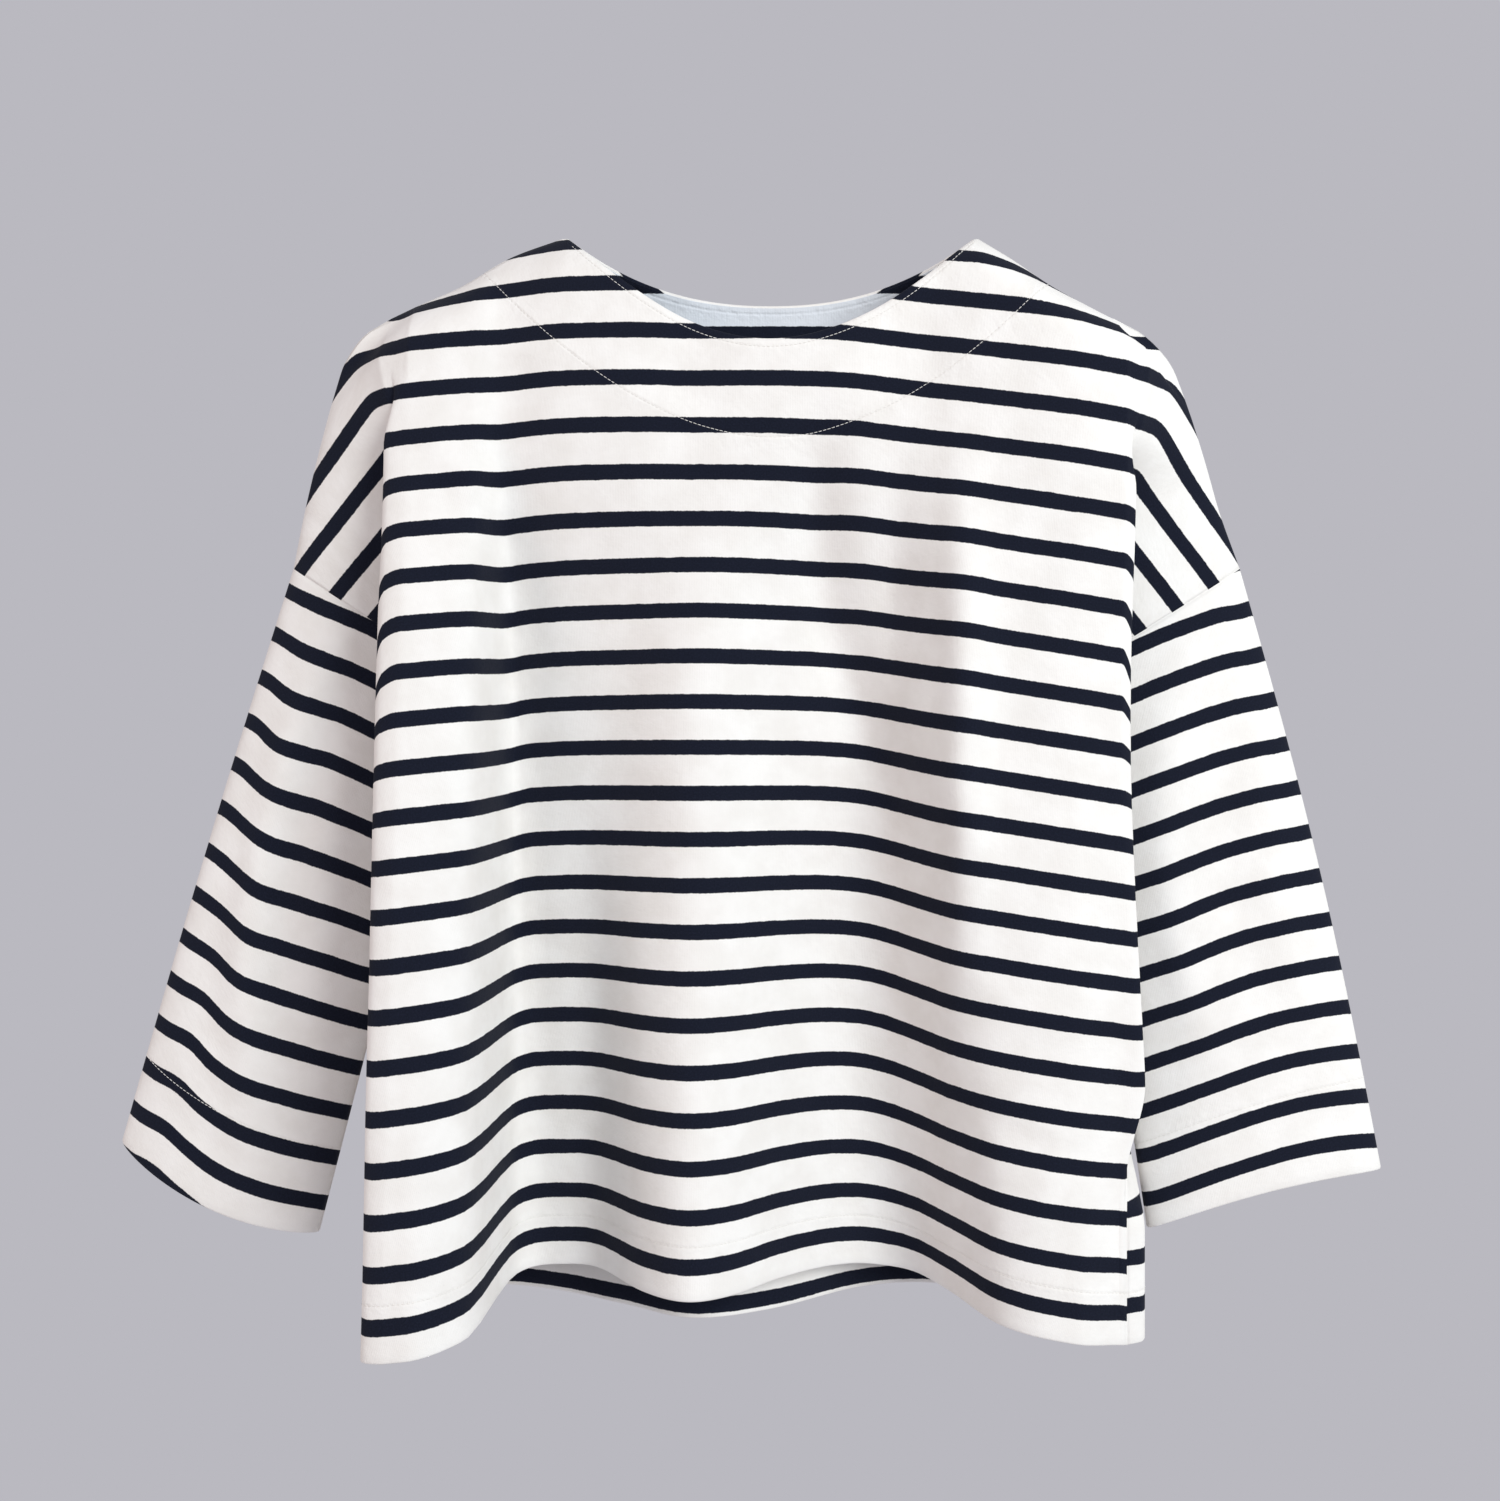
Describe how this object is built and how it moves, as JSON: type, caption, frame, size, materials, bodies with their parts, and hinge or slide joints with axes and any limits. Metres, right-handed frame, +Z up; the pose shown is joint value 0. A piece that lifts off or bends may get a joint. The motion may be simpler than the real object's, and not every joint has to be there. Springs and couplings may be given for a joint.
{
  "type": "breton stripe top",
  "caption": "Boxy long-sleeved striped cotton top with a wide neck and dropped shoulders, hollow, hanging in soft folds.",
  "frame": {"origin": "midway between the two points where neck and shoulder meet, where a wearer or a hanger holds the top up", "axes": "+X to the right of the picture, +Y from the front to the back, +Z up"},
  "size_m": [0.8384, 0.193, 0.7116],
  "materials": {
    "striped_cotton": "matt heavy jersey, off-white with navy stripes",
    "facing_cotton": "matt jersey, white with navy stripes"
  },
  "bodies": {
    "root": {"front": "striped_cotton", "back": "striped_cotton", "sleeve_left": "striped_cotton", "sleeve_right": "striped_cotton", "neck_facing_front": "facing_cotton", "neck_facing_back": "facing_cotton"}
  },
  "joints": []
}
